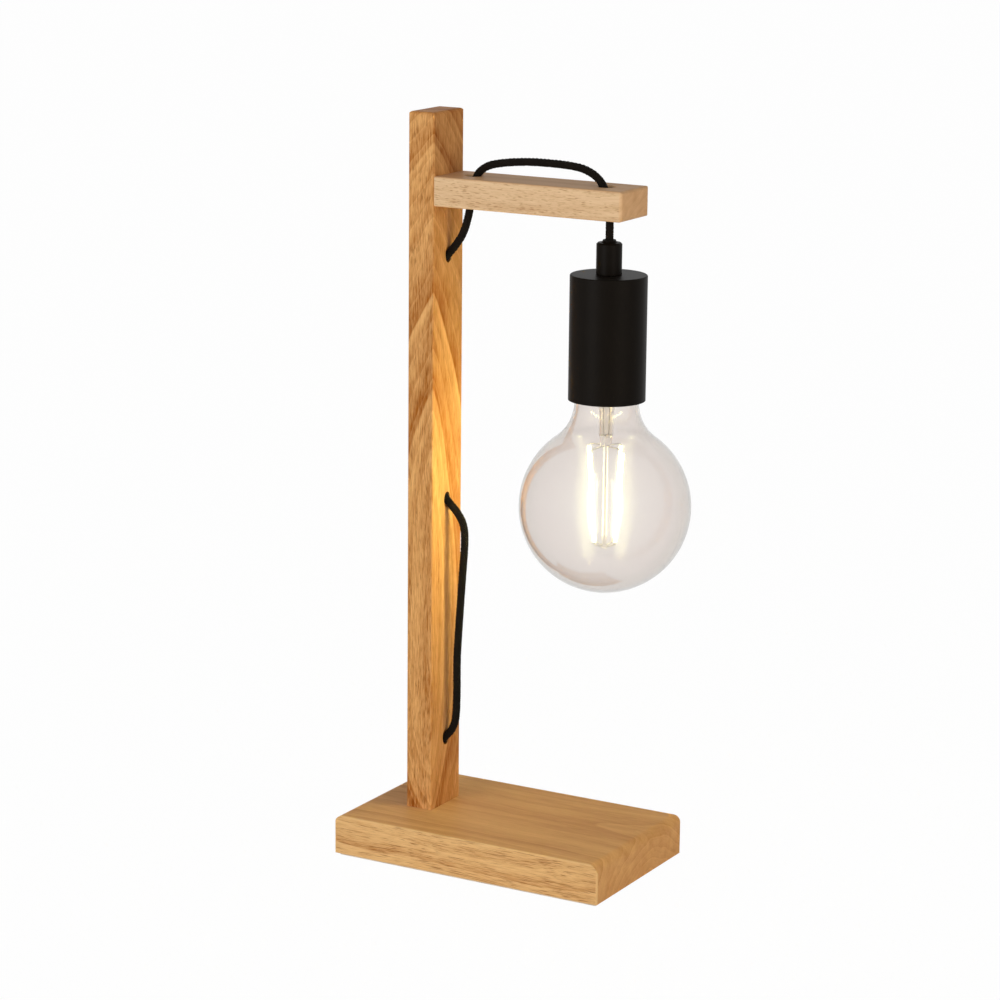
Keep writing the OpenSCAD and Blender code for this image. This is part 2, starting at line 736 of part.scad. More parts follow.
module thread_shell() {
    crown = (thread_d + thread_depth) / 2 + thread_gap;
    color(brass) at_foot() threaded_shell(concat(
        [[shell_bottom - 0.5, crown, 0]],
        thread_rows(shell_bottom, shell_thread_top, crown),
        [[shell_top, crown, 0]]
    ), shell_wall, false);
}

module centre_contact() {
    low = carrier_top + carrier_t;
    color(brass) at_holder() {
        rotate([90, 0, 0]) linear_extrude(5, center = true) polygon([
            [-10, -low], [-3.5, -low], [0, slip + strip_t - foot_depth], [4.5, slip + strip_t - foot_depth],
            [4.5, slip - foot_depth], [-0.2, slip - foot_depth],
            [-3.7, -low - strip_t], [-10, -low - strip_t]
        ]);
        translate([rivet_x, 0, -low - strip_t - 0.6]) {
            cylinder(d = 4, h = 0.7);
            cylinder(d = 2.4, h = carrier_t + 1);
        }
    }
}

module side_contact() {
    low = carrier_top + carrier_t;
    out = (thread_d + thread_depth) / 2 + thread_gap - 0.25;
    color(brass) at_holder() rotate([90, 0, 0]) linear_extrude(4, center = true) polygon([
        [6, -low], [out, -low], [out, -low - side_leg], [out - strip_t, -low - side_leg],
        [out - strip_t, -low - strip_t], [6, -low - strip_t]
    ]);
}

module holder_screws() {
    color(nickel) at_holder() at_holder_screws() difference() {
        union() {
            cylinder(d = 5, h = 1.5);
            translate([0, 0, 1.1 - carrier_t]) cylinder(d = holder_screw_d, h = carrier_t);
        }
        translate([-3, -slot_w / 2, 0.7]) cube([6, slot_w, 2]);
    }
}

// ---- the bulb ----

module foot_contact() {
    color(nickel) at_foot() rotate_extrude() polygon([
        [0, 0], [foot_r - 1.4, 0], [foot_r, -0.45], [foot_r, -foot_t], [0, -foot_t]
    ]);
}

module bulb_cap() {
    root = (thread_d - thread_depth) / 2;
    color(nickel) at_foot() threaded_shell(concat(
        [[cap_rim, cap_rim_r - 0.2, 0], [cap_rim + 0.3, cap_rim_r, 0],
            [cap_thread_bottom - 1.2, cap_rim_r, 0], [cap_thread_bottom - 0.6, root, 0]],
        thread_rows(cap_thread_bottom, cap_thread_top, root),
        [[cap_thread_top + 0.6, root - 0.4, 0]]
    ), cap_wall, true);
}

module cap_insulator() {
    edge = (thread_d - thread_depth) / 2 - cap_wall - 0.55;
    top = cap_thread_top + 0.6;
    color("black") at_foot() rotate_extrude() polygon([
        [0, -foot_t - 0.05], [foot_r + 0.6, -foot_t - 0.05], [edge, top], [edge, top - 1],
        [edge - 1.5, top - 1], [foot_r - 0.5, top + 0.6], [0, top + 0.6]
    ]);
}

// Half the outline of the glass, drawn in by a wall's thickness
module glass_outline(wall) {
    u = [neck_d / 2 + neck_fillet, fillet_up] / (globe_r + neck_fillet);
    intersection() {
        translate([0, -globe_r]) square([globe_r, globe_r + glass_top]);
        union() {
            circle(globe_r - wall);
            difference() {
                translate([0, u.y * (globe_r - wall)])
                    square([u.x * (globe_r - wall), fillet_up - u.y * (globe_r - wall)]);
                translate([neck_d / 2 + neck_fillet, fillet_up]) circle(neck_fillet + wall);
            }
            translate([0, fillet_up - reach]) square([neck_d / 2 - wall, neck_up - fillet_up + reach]);
            translate([seal_r, neck_up]) circle(shoulder_r - wall);
            translate([0, neck_up - reach]) square([seal_r, shoulder_r - wall + reach]);
            translate([0, neck_up]) square([seal_r - 0.7 - wall, glass_top]);
        }
    }
}

module globe() {
    color(clear, 0.35) at_globe() rotate_extrude() difference() {
        glass_outline(0);
        glass_outline(glass_wall);
    }
}

module stem() {
    flare_r = seal_r - 0.7 - glass_wall - pilot_slip;
    bulge = stem_d / 2;
    color(clear, 0.35) at_globe() {
        rotate_extrude() polygon([
            [flare_r - 1, glass_top], [flare_r, glass_top], [flare_r - 0.6, glass_top - 4],
            [bulge + 1.6, glass_top - 9], [bulge, glass_top - 15], [bulge, stem_up + pinch_h],
            [bulge - 0.9, stem_up + pinch_h - 1], [bulge - 0.9, glass_top - 15.4],
            [bulge + 0.7, glass_top - 8.7], [flare_r - 1.6, glass_top - 3.7]
        ]);
        translate([0, 0, stem_up]) rotate([0, 0, filament_turn]) intersection() {
            translate([-bulge - reach, -pinch_t / 2, 0])
                cube([2 * bulge + 2 * reach, pinch_t, pinch_h]);
            cylinder(r1 = bulge - 1, r2 = bulge, h = pinch_h);
        }
        translate([0, 0, filament_foot - 4]) {
            cylinder(d = rod_d, h = stem_up - filament_foot + 4.5);
            sphere(d = rod_d + 1);
        }
    }
}

module at_filaments() {
    for (i = [0:filament_n - 1]) rotate([0, 0, 360 * i / filament_n + filament_turn]) children();
}

module filaments() {
    color("moccasin") at_globe() at_filaments() rod([filament_top_r, 0, filament_up],
        [filament_foot_r, 0, filament_foot], filament_d);
}

// Wires that hold the strips at both ends, and the two leads up to the driver board
module support_wires() {
    low = filament_foot - 4;
    color(nickel) at_globe() {
        at_filaments() {
            swept_tube([
                [1.3, 0, stem_up - 0.35], [5, 0, filament_up + 2.15], [10, 0, filament_up + 1.9],
                [filament_top_r - 0.3, 0, filament_up + 1.3], [filament_top_r, 0, filament_up + 0.1]
            ], wire_d, 8);
            swept_tube([
                [1.7, 0, low], [5, 0, low + 0.8], [filament_foot_r - 0.8, 0, low + 2],
                [filament_foot_r - 0.1, 0, low + 3], [filament_foot_r, 0, filament_foot - 0.1]
            ], wire_d, 8);
        }
        for (x = [-1, 1]) rod([1.6 * x, 0, stem_up + pinch_h + 0.1], [2.4 * x, 0, glass_top + 1.4], wire_d);
    }
}

module driver_board() {
    side = board_size.y / 2;
    color("seagreen") at_globe() translate([0, 0, glass_top + 1.5]) {
        translate([-board_size.x / 2, -side, 0]) cube(board_size);
        translate([capacitor_at.x, side, capacitor_at.y]) rotate([-90, 0, 0])
            cylinder(d = capacitor_d, h = capacitor_l);
        translate([choke_at.x, side, choke_at.y]) cube(choke_size);
        translate([rectifier_at.x, -side - rectifier_size.y, rectifier_at.y]) cube(rectifier_size);
    }
}

base_board();
post();
arm();
arm_dowels();
post_screws();
base_felt();
bottom_cover();
cover_screws();
lead_grommet();
cord_clamp();
terminal_block();
terminal_sleeves();
terminal_screws();
fixing_screws();
flex();
flex_cores();
flex_drop();
cord_grip();
grip_screw();
flex_tail();
holder_cores();
lock_nut();
holder_cup();
holder_dome();
contact_carrier();
holder_skirt();
thread_shell();
centre_contact();
side_contact();
holder_screws();
foot_contact();
bulb_cap();
cap_insulator();
globe();
stem();
filaments();
support_wires();
driver_board();
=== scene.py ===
"""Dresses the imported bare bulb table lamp: satin pale hardwood, a braided flex,
a matt black lampholder and a lit clear globe bulb, on a white studio ground."""

import math

import bpy
from bpy.props import FloatProperty, FloatVectorProperty, IntProperty, PointerProperty
from mathutils import Matrix, Vector


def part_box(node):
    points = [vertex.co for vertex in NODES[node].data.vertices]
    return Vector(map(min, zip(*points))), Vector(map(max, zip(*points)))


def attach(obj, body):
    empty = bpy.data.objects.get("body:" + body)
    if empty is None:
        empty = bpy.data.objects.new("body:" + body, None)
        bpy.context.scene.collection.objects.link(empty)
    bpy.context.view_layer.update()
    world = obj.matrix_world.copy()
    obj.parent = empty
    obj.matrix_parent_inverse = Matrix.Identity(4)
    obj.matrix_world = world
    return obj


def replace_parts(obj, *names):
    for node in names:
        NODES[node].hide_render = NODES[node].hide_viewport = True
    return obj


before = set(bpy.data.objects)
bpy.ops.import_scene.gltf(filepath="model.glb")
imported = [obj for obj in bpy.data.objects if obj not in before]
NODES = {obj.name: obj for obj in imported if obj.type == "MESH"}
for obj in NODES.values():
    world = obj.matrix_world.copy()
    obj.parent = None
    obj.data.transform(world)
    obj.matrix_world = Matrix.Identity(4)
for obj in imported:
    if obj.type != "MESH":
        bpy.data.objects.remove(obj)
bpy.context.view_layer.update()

bl_info = {
    "name": "Bare bulb table lamp",
    "version": (1, 0, 0),
    "blender": (4, 5, 0),
    "location": "View3D > Sidebar > Lamp",
    "description": "Finishes, lights and stages a bare bulb table lamp",
    "category": "Object",
}

MM = 0.001
BOARD_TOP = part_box("base_board")[1].z
POST_LOW, POST_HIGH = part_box("post")
POST_X = (POST_LOW.x + POST_HIGH.x) / 2
# The flex's free stretch, under the arm's end
DROP_LOW, DROP_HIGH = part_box("flex_drop")
HANG_X = (DROP_LOW.x + DROP_HIGH.x) / 2
CLEAR_PIECES = ("globe", "stem")

# The camera's place, in metres, and its turn, tilt down and roll, in degrees
CAMERA_AT = (0.86266, -1.53643, 0.61913)
CAMERA_TURNS = (29.52, 13.109, 0.56)
# Width of the camera's frame, in mm
FRAME_WIDTH = 36
# The soft lights: their size, what they face and their places, in metres
LIGHT_SIZE = 1.2
LIGHT_AIM = (0, 0, 0.2)
KEY_AT, KEY_COLOUR = (-0.7, -2.3, 0.5), (1.0, 1.0, 1.0)
FILL_AT, FILL_COLOUR = (2.1, -0.8, 0.5), (1.0, 0.9, 0.77)
# The ground: half its side, its gap under the felt, and how far it outshines its shadows
GROUND_HALF = 14.0
GROUND_GAP = 0.2 * MM
GROUND_GLOW = 0.98

# The laced flex's route, in mm: x from the post's middle, height above the board's top face
FLEX_ROUTE = [
    (20.5, -12), (14, -12), (7, -12), (2.2, -10), (0, -4), (0, 14), (0.2, 25), (1.4, 30.6),
    (4.2, 35.8), (8.2, 40), (12.6, 45.4), (15, 53), (15.6, 68), (15.6, 88), (17, 112),
    (18.8, 138), (20, 156), (19.2, 166), (15.4, 172.8), (8.2, 180), (2.8, 186), (0.3, 194),
    (0, 210), (0, 250), (0, 288), (0.2, 304), (1.4, 310.6), (4.2, 315.8), (8.2, 320),
    (13.6, 326.4), (18, 333.4), (21.2, 343.6), (23.2, 354.6), (26, 364.6), (31, 369.8),
    (40, 372.8), (58, 374.9), (78, 375), (90, 374), (97, 371.8), (102, 368.5),
    (105.4, 363.9), (107.2, 358.8), (108.6, 354.4), (109, 351.2),
]
ROUTE_STEPS = 4
# The free stretch's braid: how far it stands in from the solid's two ends, in radii
DROP_TOP_IN, DROP_FOOT_IN = 0.2, 0.6


def linear(code):
    """A six-digit sRGB colour as linear red, green and blue."""
    parts = [int(code[i:i + 2], 16) / 255 for i in (0, 2, 4)]
    return tuple(c / 12.92 if c <= 0.04045 else ((c + 0.055) / 1.055) ** 2.4 for c in parts)


def add(tree, kind, inputs=None, **settings):
    """Adds a node, sets its properties, and sets or links its inputs."""
    made = tree.nodes.new(kind)
    for name, value in settings.items():
        setattr(made, name, value)
    for key, value in (inputs or {}).items():
        if isinstance(value, bpy.types.NodeSocket):
            tree.links.new(value, made.inputs[key])
        else:
            made.inputs[key].default_value = value
    return made


def maths(tree, operation, a, b=0.0, c=0.0):
    """One Math node's result."""
    return add(tree, "ShaderNodeMath", {0: a, 1: b, 2: c}, operation=operation).outputs[0]


def vector(tree, operation, a, b=(0, 0, 0)):
    """One Vector Math node's result."""
    made = add(tree, "ShaderNodeVectorMath", {0: a, 1: b}, operation=operation)
    return made.outputs["Value" if operation in {"LENGTH", "DOT_PRODUCT"} else "Vector"]


def ramp(tree, value, stops):
    """A colour ramp's colour; stops are pairs of a position and a linear colour or a grey."""
    made = add(tree, "ShaderNodeValToRGB", {"Fac": value})
    band = made.color_ramp
    while len(band.elements) < len(stops):
        band.elements.new(0.5)
    for element, (at, colour) in zip(band.elements, stops):
        element.position = at
        grey = isinstance(colour, (int, float))
        element.color = (colour,) * 3 + (1,) if grey else (*colour, 1)
    return made.outputs["Color"]


def mix(tree, share, a, b):
    """Two colours mixed."""
    return add(tree, "ShaderNodeMix", {0: share, 6: a, 7: b}, data_type="RGBA").outputs[2]


def rgba(colour):
    """A property's colour as a socket's value."""
    return (*colour, 1)


def new_material(name):
    """An empty material and its tree."""
    made = bpy.data.materials.new(name)
    made.use_nodes = True
    made.node_tree.nodes.clear()
    return made, made.node_tree


def finish_material(tree, shader):
    """Joins a shader to the material's output."""
    add(tree, "ShaderNodeOutputMaterial", {"Surface": shader.outputs[0]})


def scaled(tree, value, by):
    """A vector times a number."""
    return add(tree, "ShaderNodeVectorMath", {0: value, "Scale": by}, operation="SCALE").outputs[0]


def place(tree, unit):
    """Object coordinates, counted in a unit of so many metres."""
    return scaled(tree, add(tree, "ShaderNodeTexCoord").outputs["Object"], 1 / unit)


def noise(tree, where, detail=2.0, rough=0.5, output="Fac"):
    """The value or the colour of a noise texture whose grain is one unit."""
    return add(tree, "ShaderNodeTexNoise", {
        "Vector": where, "Scale": 1.0, "Detail": detail, "Roughness": rough,
    }).outputs[output]


def dress(names, material):
    """Gives CAD nodes one material."""
    for name in names:
        slots = NODES[name].data.materials
        slots.clear()
        slots.append(material)


# ---- finishes ----

# Lacquered hardwood: how long along the grain and how wide across it each pattern is, in mm
SWAY_SIZE = (140, 33)
STREAK_SIZE = (160, 6)
FIBRE_SIZE = (9, 0.6)
# How far the sway shifts the rings and the fibres, in mm
RING_SWAY = 14
FIBRE_SWAY = 6
# One ring, from its pale line to the next; the least strength a ring has, and what chance adds
RING_FADE = [(0.0, 0.0), (0.04, 1.0), (0.45, 0.55), (0.88, 0.3), (0.95, 0.0)]
RING_LEAST, RING_CHANCE = 0.4, 0.6
# Fine rings to each broad ring, and how strongly they show beside it
FINE_RINGS, FINE_SHARE = 3.3, 0.5
STREAK_SHARE = 0.8
# How dark the wood is where nothing darkens it
LEAST_TONE = 0.1
# What is left of the fibres on the faces that quiet deepens
DRUNK_FIBRES = 0.3
# How ragged and how wide the pale painted highlight along the edges is
HIGHLIGHT_RAGGED, HIGHLIGHT_REACH = 5.0, 2.2
# Noise values at which a pore starts and is open, and how far pores gather in dark streaks
PORE_EDGE = [(0.58, 0.0), (0.7, 1.0)]
PORE_GATHER = 0.3
# Strength and depth of the fibres' relief, and their share of it beside the pores
WOOD_RELIEF, WOOD_DEPTH, FIBRE_RELIEF = 0.2, 0.2 * MM, 0.3
# Low, so that the white studio lays no glare on the wood
LACQUER_SPECULAR = 0.02

# Other finishes: how far the grain spreads the roughness, how much coarser the broad grain is
# and its share of the colour, and the depth of the relief
GLOSS_SPREAD = 0.12
BROAD_TIMES, BROAD_SHARE = 25, 0.6
GRAIN_DEPTH = 0.1 * MM

# Blown glass from square on (0) to edge on (1)
GLASS_TINTS = [(0.0, "F5F1EE"), (0.13, "F2EDEA"), (0.4, "ECE7E4"), (0.72, "DCD7D2"),
               (0.83, "CCC7C2"), (1.0, "B0ABA5")]
GLASS_IOR = 1.45


def stretched(tree, where, size):
    """Noise coordinates with the grain along X: one step per length and per width, in mm."""
    along, across = size
    return add(tree, "ShaderNodeMapping", {
        "Vector": where, "Scale": (1 / along, 1 / across, 1 / across),
    }).outputs[0]


def about_zero(tree, where, rough):
    """Three octaves of noise, less its mean."""
    return maths(tree, "SUBTRACT", noise(tree, where, detail=3.0, rough=rough), 0.5)


def ring_space(tree, turned, sway, heart, still, bow, low):
    """Places measured from the curved heart line, with the rings' sway."""
    far = maths(tree, "SUBTRACT", add(tree, "ShaderNodeSeparateXYZ", {0: turned}).outputs["X"], still)
    under = maths(tree, "MINIMUM", far, 0.0)
    bend = maths(tree, "MULTIPLY_ADD", maths(tree, "MULTIPLY", under, under), low - 1.0,
        maths(tree, "MULTIPLY", far, far))
    straight = vector(tree, "SUBTRACT", turned, (0, *heart))
    run = vector(tree, "SUBTRACT", straight, scaled(tree, (0, *bow), bend))
    return vector(tree, "ADD", run, vector(tree, "MULTIPLY", sway, (0, RING_SWAY, RING_SWAY)))


def rings(tree, depth, width):
    """A pale line, then dark that fades through the ring; each ring has its own strength."""
    turns = maths(tree, "DIVIDE", depth, width)
    fade = ramp(tree, maths(tree, "FRACT", turns), RING_FADE)
    own = add(tree, "ShaderNodeTexWhiteNoise", {
        "W": maths(tree, "FLOOR", turns),
    }, noise_dimensions="1D").outputs["Value"]
    return maths(tree, "MULTIPLY", fade, maths(tree, "MULTIPLY_ADD", own, RING_CHANCE, RING_LEAST))


def plain_sawn_wood(name, settings, along, heart, still, bow, ring, pale, dark, pore, quiet,
                    low=1.0, figure=0.3, fibres=1.1, pores=0.5, pore_size=(8.0, 0.45), painted_highlight_strength=0.0):
    """Pale plain-sawn hardwood under satin lacquer. The rings are shells round a heart line beside
    the piece: `heart` is its place across the grain where the tree stood straight, at `still`
    along the grain, and `bow` is how fast it curves away from there, `low` times as fast below,
    which draws the cathedrals. `quiet` is how far the faces across X, Y and Z are deepened and
    their pores filled: on end grain this is the wood's own deeper colour, on long-grain faces it
    is painted shade. `figure`, `fibres` and `pores` are how strongly the rings, the fibres and the
    pores show. `painted_highlight_strength` is how strongly a pale painted highlight is laid along the
    edges round the faces across Y. Lengths are in mm."""
    made, tree = new_material(name)
    order = {"X": (0, 1, 2), "Z": (2, 0, 1)}[along]
    xyz = add(tree, "ShaderNodeSeparateXYZ", {0: place(tree, MM)}).outputs
    turned = add(tree, "ShaderNodeCombineXYZ", {i: xyz[order[i]] for i in range(3)}).outputs[0]
    sway = vector(tree, "SUBTRACT", noise(tree, stretched(tree, turned, SWAY_SIZE), output="Color"),
        (0.5, 0.5, 0.5))
    bent = ring_space(tree, turned, sway, heart, still, bow, low)
    depth = vector(tree, "LENGTH", vector(tree, "MULTIPLY", bent, (0, 1, 1)))

    normal = vector(tree, "ABSOLUTE", add(tree, "ShaderNodeTexCoord").outputs["Normal"])
    # How far each face is deepened: on end grain this is the wood's own deeper colour, on long-grain faces
    # it is painted shade
    grain_and_shade_depth = maths(tree, "MINIMUM", vector(tree, "DOT_PRODUCT", normal, quiet), 1.0)
    open_grain = maths(tree, "SUBTRACT", 1.0, grain_and_shade_depth)
    facing = add(tree, "ShaderNodeSeparateXYZ", {0: normal}).outputs
    edge = maths(tree, "MULTIPLY", facing["Y"], maths(tree, "ADD", facing["X"], facing["Z"]))

    grain_at = vector(tree, "ADD", turned, vector(tree, "MULTIPLY", sway, (0, FIBRE_SWAY, FIBRE_SWAY)))
    fibre = about_zero(tree, stretched(tree, grain_at, FIBRE_SIZE), 0.65)
    streak = about_zero(tree, stretched(tree, bent, STREAK_SIZE), 0.55)
    fine = maths(tree, "MULTIPLY", rings(tree, depth, ring / FINE_RINGS), figure * FINE_SHARE)
    tone = maths(tree, "MULTIPLY_ADD", rings(tree, depth, ring), figure, fine)
    tone = maths(tree, "MULTIPLY_ADD", streak, STREAK_SHARE, tone)
    strength = maths(tree, "MULTIPLY_ADD", open_grain, fibres * (1 - DRUNK_FIBRES), fibres * DRUNK_FIBRES)
    tone = maths(tree, "MULTIPLY_ADD", fibre, strength, tone)
    body = ramp(tree, maths(tree, "ADD", tone, LEAST_TONE), [(0.0, pale), (1.0, dark)])
    # The deepened faces: the end grain's own colour, and painted shade on long-grain faces
    body = mix(tree, grain_and_shade_depth, body, vector(tree, "MULTIPLY", body, settings.grain_and_shade_tint))

    # A pale painted highlight along the edges round the faces across Y
    painted_highlight = maths(tree, "MULTIPLY", maths(tree, "MULTIPLY_ADD", fibre, HIGHLIGHT_RAGGED, HIGHLIGHT_REACH), edge)
    painted_highlight = maths(tree, "MINIMUM", maths(tree, "MAXIMUM", painted_highlight, 0.0), 1.0)
    body = mix(tree, maths(tree, "MULTIPLY", painted_highlight, painted_highlight_strength), body, rgba(pale))

    specks = maths(tree, "MULTIPLY_ADD", maths(tree, "ADD", fibre, streak), PORE_GATHER,
        noise(tree, stretched(tree, grain_at, pore_size), detail=1.0, rough=0.4))
    specks = maths(tree, "MULTIPLY", ramp(tree, specks, PORE_EDGE), open_grain)
    body = mix(tree, maths(tree, "MULTIPLY", specks, settings.pore_depth * pores), body, rgba(pore))
    relief = add(tree, "ShaderNodeBump", {
        "Strength": WOOD_RELIEF, "Distance": WOOD_DEPTH,
        "Height": maths(tree, "SUBTRACT", maths(tree, "MULTIPLY", fibre, FIBRE_RELIEF), specks),
    }).outputs[0]
    finish_material(tree, add(tree, "ShaderNodeBsdfPrincipled", {
        "Base Color": body, "Normal": relief, "Specular IOR Level": LACQUER_SPECULAR,
        "Roughness": maths(tree, "MULTIPLY_ADD", fibre, GLOSS_SPREAD, settings.lacquer_roughness),
    }))
    return made


def grained_material(name, colour, roughness, grain=1.1, relief=0.15, vary=0.06,
                     metallic=0.0, specular=0.5):
    """A material with a fine grain, in mm, in its colour, its gloss and its surface."""
    made, tree = new_material(name)
    fine = noise(tree, place(tree, grain * MM), detail=3.0, rough=0.6)
    broad = noise(tree, place(tree, grain * BROAD_TIMES * MM))
    tone = maths(tree, "MULTIPLY_ADD", broad, BROAD_SHARE, maths(tree, "MULTIPLY", fine, 1 - BROAD_SHARE))
    tint = ramp(tree, tone, [
        (0.3, [c * (1 - vary) for c in colour]), (0.7, [min(1, c * (1 + vary)) for c in colour])])
    dents = add(tree, "ShaderNodeBump", {
        "Strength": relief, "Distance": GRAIN_DEPTH, "Height": fine,
    }).outputs[0]
    finish_material(tree, add(tree, "ShaderNodeBsdfPrincipled", {
        "Base Color": tint, "Metallic": metallic, "Specular IOR Level": specular, "Normal": dents,
        "Roughness": maths(tree, "MULTIPLY_ADD", fine, GLOSS_SPREAD, roughness - GLOSS_SPREAD / 2),
    }))
    return made


def clear_glass(name, colour, roughness, edge=1.0):
    """Clear soda-lime glass, which darkens by `edge` where it is seen edge on."""
    made, tree = new_material(name)
    across = add(tree, "ShaderNodeLayerWeight", {"Blend": 0.5}).outputs["Facing"]
    tint = ramp(tree, across, [(at, linear(code)) for at, code in GLASS_TINTS])
    finish_material(tree, add(tree, "ShaderNodeBsdfPrincipled", {
        "Base Color": mix(tree, edge, rgba(colour), vector(tree, "MULTIPLY", tint, colour)),
        "Roughness": roughness, "IOR": GLASS_IOR, "Transmission Weight": 1.0,
    }))
    return made


def glowing_strip(name, colour, power):
    """Phosphor silicone beads, lit."""
    made, tree = new_material(name)
    beads = noise(tree, place(tree, 1.1 * MM), detail=1.0)
    finish_material(tree, add(tree, "ShaderNodeBsdfPrincipled", {
        "Base Color": ramp(tree, beads, [(0.4, linear("F2B25C")), (0.6, linear("F7C983"))]),
        "Roughness": 0.5, "Emission Color": rgba(colour), "Emission Strength": power,
    }))
    return made


# ---- braided flex ----

# Points on a strand between two crossings, and a strand's sides
CROSSING_STEPS = 2.5
STRAND_SIDES = 4
# The core under the strands: its step in radii, its sides, and how far it lies under them in rises
CORE_STEP = 1.2
CORE_SIDES = 12
CORE_UNDER = 0.6
# How far a strand rises over a crossing, in strand radii
STRAND_RISE = 0.45


def smooth_route(points, steps):
    """A smooth curve through every point."""
    made = []
    for i in range(len(points) - 1):
        a, b = points[max(i - 1, 0)], points[i]
        c, d = points[i + 1], points[min(i + 2, len(points) - 1)]
        for k in range(steps):
            t = k / steps
            made.append(0.5 * (2 * b + (c - a) * t + (2 * a - 5 * b + 4 * c - d) * t * t
                               + (3 * b - 3 * c + d - a) * t ** 3))
    return made + [points[-1]]


def curve_object(name, points):
    """A poly curve through points."""
    data = bpy.data.curves.new(name, "CURVE")
    data.dimensions = "3D"
    spline = data.splines.new("POLY")
    spline.points.add(len(points) - 1)
    for point, at in zip(spline.points, points):
        point.co = (*at, 1)
    made = bpy.data.objects.new(name, data)
    bpy.context.scene.collection.objects.link(made)
    return made


def braid_tree():
    """Geometry nodes that lay a round textile braid along a curve: strands wind both ways and
    pass over two and under two, on a plain core."""
    tree = bpy.data.node_groups.new("Textile braid", "GeometryNodeTree")
    face = tree.interface
    face.new_socket("Geometry", in_out="INPUT", socket_type="NodeSocketGeometry")
    for label, kind in (("Strands each way", "Int"), ("Radius", "Float"), ("Pitch", "Float"),
                        ("Strand radius", "Float"), ("Rise", "Float"), ("Material", "Material")):
        face.new_socket(label, in_out="INPUT", socket_type="NodeSocket" + kind)
    face.new_socket("Geometry", in_out="OUTPUT", socket_type="NodeSocketGeometry")
    given = tree.nodes.new("NodeGroupInput").outputs
    ways, radius, pitch = given["Strands each way"], given["Radius"], given["Pitch"]
    step = maths(tree, "DIVIDE", pitch, maths(tree, "MULTIPLY", ways, CROSSING_STEPS))
    fine = add(tree, "GeometryNodeResampleCurve", {
        "Curve": given["Geometry"], "Length": step,
    }, mode="LENGTH").outputs[0]
    copies = add(tree, "GeometryNodeDuplicateElements", {
        "Geometry": fine, "Amount": maths(tree, "MULTIPLY", ways, 2.0),
    }, domain="SPLINE").outputs
    run = add(tree, "GeometryNodeSplineParameter").outputs["Length"]
    way = maths(tree, "MULTIPLY_ADD", maths(tree, "LESS_THAN", copies["Duplicate Index"], ways), 2.0, -1.0)
    turn = maths(tree, "DIVIDE", run, pitch)
    start = maths(tree, "DIVIDE", copies["Duplicate Index"], ways)
    angle = maths(tree, "MULTIPLY", maths(tree, "MULTIPLY_ADD", turn, way, start), math.tau)
    crossing = maths(tree, "MULTIPLY", maths(tree, "MULTIPLY", turn, ways), math.pi)
    lift = maths(tree, "MULTIPLY", maths(tree, "SINE", maths(tree, "ADD", crossing, math.pi / 4)), way)
    reach = maths(tree, "MULTIPLY_ADD", lift, given["Rise"], radius)
    side = add(tree, "GeometryNodeInputNormal").outputs[0]
    ahead = add(tree, "GeometryNodeInputTangent").outputs[0]
    across = vector(tree, "CROSS_PRODUCT", ahead, side)
    spoke = vector(tree, "ADD", scaled(tree, side, maths(tree, "COSINE", angle)),
        scaled(tree, across, maths(tree, "SINE", angle)))
    wound = add(tree, "GeometryNodeSetPosition", {
        "Geometry": copies["Geometry"], "Offset": scaled(tree, spoke, reach),
    }).outputs[0]
    strand = add(tree, "GeometryNodeCurvePrimitiveCircle", {
        "Resolution": STRAND_SIDES, "Radius": given["Strand radius"],
    }).outputs[0]
    strands = add(tree, "GeometryNodeCurveToMesh", {"Curve": wound, "Profile Curve": strand}).outputs[0]
    coarse = add(tree, "GeometryNodeResampleCurve", {
        "Curve": given["Geometry"], "Length": maths(tree, "MULTIPLY", radius, CORE_STEP),
    }, mode="LENGTH").outputs[0]
    core_radius = maths(tree, "SUBTRACT", radius, maths(tree, "MULTIPLY", given["Rise"], CORE_UNDER))
    ring = add(tree, "GeometryNodeCurvePrimitiveCircle", {
        "Resolution": CORE_SIDES, "Radius": core_radius,
    }).outputs[0]
    core = add(tree, "GeometryNodeCurveToMesh", {
        "Curve": coarse, "Profile Curve": ring, "Fill Caps": True,
    }).outputs[0]
    both = tree.nodes.new("GeometryNodeJoinGeometry")
    tree.links.new(strands, both.inputs[0])
    tree.links.new(core, both.inputs[0])
    smooth = add(tree, "GeometryNodeSetShadeSmooth", {"Geometry": both.outputs[0]}).outputs[0]
    real = add(tree, "GeometryNodeRealizeInstances", {"Geometry": smooth}).outputs[0]
    done = add(tree, "GeometryNodeSetMaterial", {
        "Geometry": real, "Material": given["Material"],
    }).outputs[0]
    add(tree, "NodeGroupOutput", {"Geometry": done})
    return tree


def bake(source, name, tree, values):
    """Runs a geometry node tree on an object and keeps the result as a plain mesh object."""
    modifier = source.modifiers.new("build", "NODES")
    modifier.node_group = tree
    for item in tree.interface.items_tree:
        if item.item_type == "SOCKET" and item.in_out == "INPUT" and item.name in values:
            modifier[item.identifier] = values[item.name]
    bpy.context.view_layer.update()
    graph = bpy.context.evaluated_depsgraph_get()
    mesh = bpy.data.meshes.new_from_object(source.evaluated_get(graph), depsgraph=graph)
    mesh.name = name
    made = bpy.data.objects.new(name, mesh)
    bpy.context.scene.collection.objects.link(made)
    source.modifiers.remove(modifier)
    bpy.data.objects.remove(source)
    return made


# ---- settings ----

class WoodSettings(bpy.types.PropertyGroup):
    """Finish of the board, the post and the arm."""

    lacquer_roughness: FloatProperty(
        name="Lacquer roughness", description="Roughness of the satin lacquer",
        default=0.42, min=0.1, max=0.9, subtype="FACTOR")
    pore_depth: FloatProperty(
        name="Pore depth", description="How dark the open pores are",
        default=1.0, min=0, max=1, subtype="FACTOR")
    # Deepens end grain in its own colour, and long-grain faces with painted shade
    grain_and_shade_tint: FloatVectorProperty(
        name="End grain", description="What the wood's colour is multiplied by where it drinks the lacquer",
        default=(1.0, 0.88, 0.78), min=0, max=1, size=3, subtype="COLOR")


